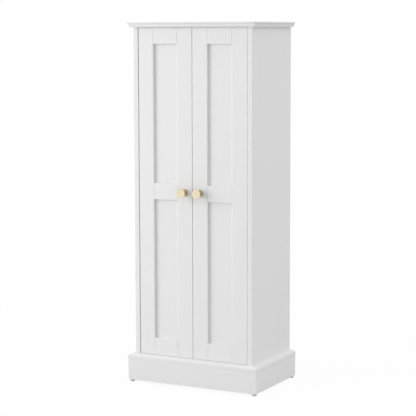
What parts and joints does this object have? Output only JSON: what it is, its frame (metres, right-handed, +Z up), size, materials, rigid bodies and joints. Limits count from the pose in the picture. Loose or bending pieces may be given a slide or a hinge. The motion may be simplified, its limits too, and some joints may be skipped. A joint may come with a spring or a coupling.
{
  "type": "bathroom cabinet",
  "caption": "Tall free-standing bathroom cabinet with inset framed doors, round knobs, moulded top board and base, loose shelves and small glides",
  "frame": {"origin": "on the floor, in the middle of the whole object's width and depth, knobs included", "axes": "+X to the cabinet's right side as seen from the front, +Y from the doors to the back, +Z up"},
  "size_m": [0.5182, 0.3482, 1.3],
  "materials": {
    "body_paint": "satin white paint",
    "door_paint": "satin white paint",
    "inner_board": "matt white lacquer",
    "back_board": "matt white lacquer",
    "knob_brass": "satin",
    "steel": "brushed",
    "zinc": "zinc plated",
    "shelf_pin_steel": "nickel plated",
    "nylon": "matt",
    "glide_plastic": "matt",
    "catch_plastic": "matt",
    "magnet": "matt ferrite",
    "beech": "raw"
  },
  "bodies": {
    "carcass": {"side_panel_left": "body_paint", "side_panel_right": "body_paint", "top_board": "body_paint", "base_moulding_front": "body_paint", "base_moulding_left": "body_paint", "base_moulding_right": "body_paint", "floor_board": "inner_board", "fixed_shelf": "inner_board", "toe_rail_front": "inner_board", "toe_rail_back": "inner_board", "wall_rail": "inner_board", "shelf_lower": "inner_board", "shelf_upper_low": "inner_board", "shelf_upper_high": "inner_board", "back_panel_upper": "back_board", "back_panel_lower": "back_board", "shelf_pins": "shelf_pin_steel", "glide_front_left": "glide_plastic", "glide_front_right": "glide_plastic", "glide_back_left": "glide_plastic", "glide_back_right": "glide_plastic", "frame_leaf_screws": "steel", "pivot_washers": "nylon", "catch_magnets": "magnet", "cam_locks": "zinc", "cam_bolts": "zinc", "dowels": "beech", "left_frame_leaf_top": "steel", "left_frame_leaf_bottom": "steel", "left_catch_housing": "catch_plastic", "right_frame_leaf_top": "steel", "right_frame_leaf_bottom": "steel", "right_catch_housing": "catch_plastic"},
    "left_door": {"left_stile_hinge": "door_paint", "left_stile_meeting": "door_paint", "left_rail_top": "door_paint", "left_rail_middle": "door_paint", "left_rail_bottom": "door_paint", "left_panel_upper": "door_paint", "left_panel_lower": "door_paint", "left_knob": "knob_brass", "left_knob_screw": "steel", "left_door_leaf_top": "steel", "left_door_leaf_bottom": "steel", "left_door_leaf_screws": "steel", "left_strike_plate": "steel"},
    "right_door": {"right_stile_hinge": "door_paint", "right_stile_meeting": "door_paint", "right_rail_top": "door_paint", "right_rail_middle": "door_paint", "right_rail_bottom": "door_paint", "right_panel_upper": "door_paint", "right_panel_lower": "door_paint", "right_knob": "knob_brass", "right_knob_screw": "steel", "right_door_leaf_top": "steel", "right_door_leaf_bottom": "steel", "right_door_leaf_screws": "steel", "right_strike_plate": "steel"}
  },
  "joints": [
    {"name": "left_door_swing", "type": "hinge", "parent": "carcass", "child": "left_door", "pos_m": [-0.2053, -0.1361, 0.6935], "axis": [0, 0, -1], "range_deg": [0, 120]},
    {"name": "right_door_swing", "type": "hinge", "parent": "carcass", "child": "right_door", "pos_m": [0.2053, -0.1361, 0.6935], "axis": [0, 0, 1], "range_deg": [0, 120]}
  ]
}
